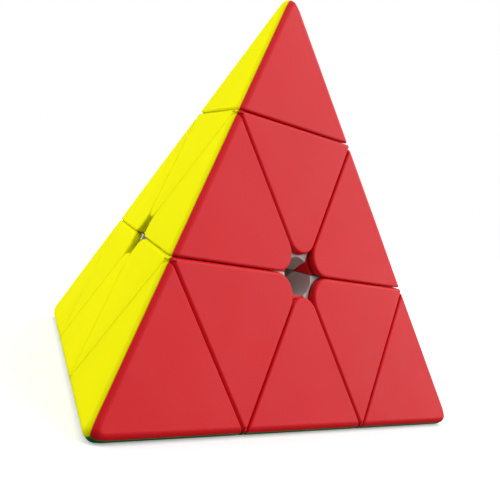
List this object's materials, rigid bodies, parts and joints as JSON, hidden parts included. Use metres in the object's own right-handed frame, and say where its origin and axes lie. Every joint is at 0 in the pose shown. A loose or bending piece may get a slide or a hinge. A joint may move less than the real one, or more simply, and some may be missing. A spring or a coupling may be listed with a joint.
{
  "type": "pyramid twisty puzzle",
  "caption": "Four-sided pyramid twisty puzzle with triangular coloured facets, turning tips and layers, and star-shaped holes where the facets meet.",
  "frame": {"origin": "centre of the ball core, where the four turning axes cross", "axes": "+Z to the top corner along its turning axis; the red face looks towards -Y and up, the base face looks along -Z; +X to the right-hand corner's side"},
  "size_m": [0.285, 0.2484, 0.2345],
  "materials": {
    "red_plastic": "satin moulded plastic",
    "yellow_plastic": "satin moulded plastic",
    "blue_plastic": "satin moulded plastic",
    "green_plastic": "satin moulded plastic",
    "white_plastic": "plain moulded plastic",
    "steel": "zinc-plated"
  },
  "bodies": {
    "core_body": {"core": "white_plastic", "tension_screws": "steel", "tension_springs": "steel", "washers": "steel", "axial_body_left": "white_plastic", "axial_cap_left_green": "green_plastic", "axial_cap_left_yellow": "yellow_plastic", "axial_cap_left_red": "red_plastic", "edge_foot_left_right_green": "green_plastic", "edge_cap_left_right_green": "green_plastic", "edge_foot_left_right_red": "red_plastic", "edge_cap_left_right_red": "red_plastic", "edge_foot_left_back_green": "green_plastic", "edge_cap_left_back_green": "green_plastic", "edge_foot_left_back_yellow": "yellow_plastic", "edge_cap_left_back_yellow": "yellow_plastic", "axial_body_right": "white_plastic", "axial_cap_right_green": "green_plastic", "axial_cap_right_blue": "blue_plastic", "axial_cap_right_red": "red_plastic", "edge_foot_right_back_green": "green_plastic", "edge_cap_right_back_green": "green_plastic", "edge_foot_right_back_blue": "blue_plastic", "edge_cap_right_back_blue": "blue_plastic", "axial_body_back": "white_plastic", "axial_cap_back_green": "green_plastic", "axial_cap_back_blue": "blue_plastic", "axial_cap_back_yellow": "yellow_plastic"},
    "top_layer": {"axial_body_top": "white_plastic", "axial_cap_top_blue": "blue_plastic", "axial_cap_top_yellow": "yellow_plastic", "axial_cap_top_red": "red_plastic", "edge_foot_top_left_yellow": "yellow_plastic", "edge_cap_top_left_yellow": "yellow_plastic", "edge_foot_top_left_red": "red_plastic", "edge_cap_top_left_red": "red_plastic", "edge_foot_top_right_blue": "blue_plastic", "edge_cap_top_right_blue": "blue_plastic", "edge_foot_top_right_red": "red_plastic", "edge_cap_top_right_red": "red_plastic", "edge_foot_top_back_blue": "blue_plastic", "edge_cap_top_back_blue": "blue_plastic", "edge_foot_top_back_yellow": "yellow_plastic", "edge_cap_top_back_yellow": "yellow_plastic"},
    "tip_top": {"tip_pivot_top": "white_plastic", "tip_cap_top_blue": "blue_plastic", "tip_cap_top_yellow": "yellow_plastic", "tip_cap_top_red": "red_plastic"},
    "tip_left": {"tip_pivot_left": "white_plastic", "tip_cap_left_green": "green_plastic", "tip_cap_left_yellow": "yellow_plastic", "tip_cap_left_red": "red_plastic"},
    "tip_right": {"tip_pivot_right": "white_plastic", "tip_cap_right_green": "green_plastic", "tip_cap_right_blue": "blue_plastic", "tip_cap_right_red": "red_plastic"},
    "tip_back": {"tip_pivot_back": "white_plastic", "tip_cap_back_green": "green_plastic", "tip_cap_back_blue": "blue_plastic", "tip_cap_back_yellow": "yellow_plastic"}
  },
  "joints": [
    {"name": "top_layer_turn", "type": "hinge", "parent": "core_body", "child": "top_layer", "pos_m": [0, 0, 0], "axis": [0, 0, 1], "continuous": true},
    {"name": "tip_top_turn", "type": "hinge", "parent": "top_layer", "child": "tip_top", "pos_m": [0, 0, 0], "axis": [0, 0, 1], "continuous": true},
    {"name": "tip_left_turn", "type": "hinge", "parent": "core_body", "child": "tip_left", "pos_m": [0, 0, 0], "axis": [-0.8165, -0.4714, -0.3333], "continuous": true},
    {"name": "tip_right_turn", "type": "hinge", "parent": "core_body", "child": "tip_right", "pos_m": [0, 0, 0], "axis": [0.8165, -0.4714, -0.3333], "continuous": true},
    {"name": "tip_back_turn", "type": "hinge", "parent": "core_body", "child": "tip_back", "pos_m": [0, 0, 0], "axis": [0, 0.9428, -0.3333], "continuous": true}
  ]
}
